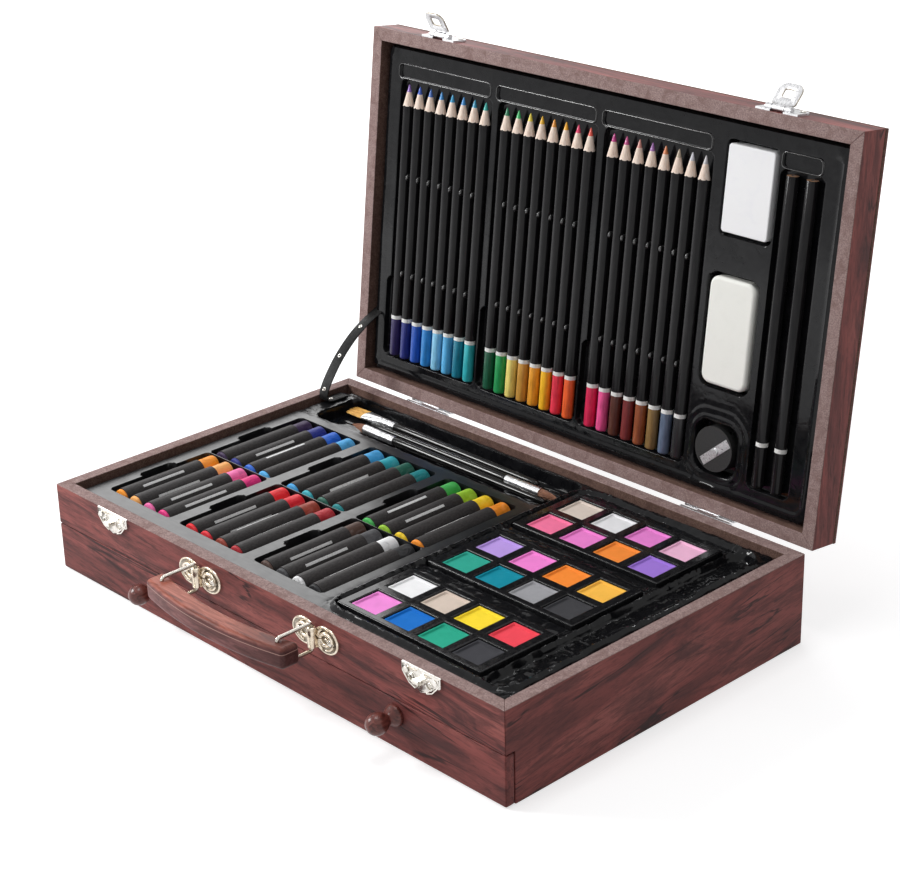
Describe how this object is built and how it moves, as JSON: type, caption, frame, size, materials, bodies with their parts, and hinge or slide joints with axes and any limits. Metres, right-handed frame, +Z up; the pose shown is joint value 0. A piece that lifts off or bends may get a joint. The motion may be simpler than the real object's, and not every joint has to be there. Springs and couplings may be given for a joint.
{
  "type": "art case",
  "caption": "Open wooden art case with a drawer, hinged lid, latches, carrying handle and trays of pastels, watercolours, brushes, pencils and erasers",
  "frame": {"origin": "Centre of the base's underside", "axes": "X across the case from left to right, Y from the front with the handle to the back with the hinges, Z up"},
  "size_m": [0.375, 0.322, 0.2993],
  "materials": {
    "foil_wood": "satin",
    "board": "matt",
    "turned_wood": "gloss",
    "nickel": "satin",
    "steel": "satin",
    "tray_plastic": "gloss",
    "pastel": "matt",
    "sleeve_paper": "matt",
    "paint": "matt",
    "black_lacquer": "gloss",
    "bristle": "matt",
    "eraser": "matt",
    "strap": "matt"
  },
  "bodies": {
    "base": {"base_front_rail": "foil_wood", "base_back_panel": "foil_wood", "base_left_side": "foil_wood", "base_right_side": "foil_wood", "base_deck": "board", "base_floor": "board", "base_fasteners": "nickel", "keeper_left": "nickel", "keeper_right": "nickel", "handle_plate_left": "nickel", "handle_plate_right": "nickel", "hinge_base_leaves": "nickel", "hinge_pins": "steel", "base_tray": "tray_plastic", "pastels_front_row": "pastel", "pastels_back_row": "pastel", "pastel_sleeves": "sleeve_paper", "palette_front": "tray_plastic", "palette_middle": "tray_plastic", "palette_back": "tray_plastic", "paint_cakes": "paint", "brush_handles": "black_lacquer", "brush_ferrules": "steel", "brush_bristles": "bristle", "lid_strap": "strap", "strap_eyelets": "nickel"},
    "lid": {"lid_front_wall": "foil_wood", "lid_back_wall": "foil_wood", "lid_left_wall": "foil_wood", "lid_right_wall": "foil_wood", "lid_panel": "foil_wood", "lid_fasteners": "nickel", "hinge_lid_leaves": "nickel", "latch_plate_left": "nickel", "latch_plate_right": "nickel", "latch_pins": "steel", "lid_tray": "tray_plastic", "pencils_cool": "black_lacquer", "pencils_bright": "black_lacquer", "pencils_warm": "black_lacquer", "graphite_pencils": "black_lacquer", "eraser_firm": "eraser", "eraser_soft": "eraser", "sharpener_body": "tray_plastic", "sharpener_blade": "steel", "sharpener_screw": "steel"},
    "drawer": {"drawer_front": "foil_wood", "drawer_knobs": "turned_wood", "drawer_knob_screws": "steel", "drawer_left_side": "board", "drawer_right_side": "board", "drawer_back": "board", "drawer_bottom": "board"},
    "latch_left": {"hasp_left": "nickel"},
    "latch_right": {"hasp_right": "nickel"},
    "handle_left": {"bail_left": "nickel"},
    "handle_right": {"bail_right": "nickel"},
    "grip": {"handle_grip": "turned_wood"}
  },
  "joints": [
    {"name": "lid_hinge", "type": "hinge", "parent": "base", "child": "lid", "pos_m": [0, 0.1175, 0.052], "axis": [1, 0, 0], "range_deg": [0, 96.8], "deforming": ["lid_strap", "strap_eyelets"]},
    {"name": "drawer_slide", "type": "slide", "parent": "base", "child": "drawer", "axis": [0, -1, 0], "range_m": [0, 0.15]},
    {"name": "latch_left_hinge", "type": "hinge", "parent": "lid", "child": "latch_left", "pos_m": [-0.13, 0.15184, 0.28427], "axis": [1, 0, 0], "range_deg": [-87, 55]},
    {"name": "latch_right_hinge", "type": "hinge", "parent": "lid", "child": "latch_right", "pos_m": [0.13, 0.15184, 0.28427], "axis": [1, 0, 0], "range_deg": [-14, 128]},
    {"name": "handle_left_swing", "type": "hinge", "parent": "base", "child": "handle_left", "pos_m": [-0.049, -0.118, 0.0435], "axis": [0, 0, 1], "range_deg": [-60, 60]},
    {"name": "handle_right_swing", "type": "hinge", "parent": "base", "child": "handle_right", "pos_m": [0.049, -0.118, 0.0435], "axis": [0, 0, 1], "range_deg": [-60, 60]},
    {"name": "grip_swing", "type": "hinge", "parent": "handle_left", "child": "grip", "pos_m": [-0.049, -0.141, 0.0435], "axis": [0, 0, 1], "range_deg": [-60, 60]}
  ],
  "couplings": [
    {"joint": "handle_right_swing", "follows": "handle_left_swing", "ratio": 1},
    {"joint": "grip_swing", "follows": "handle_left_swing", "ratio": -1}
  ]
}
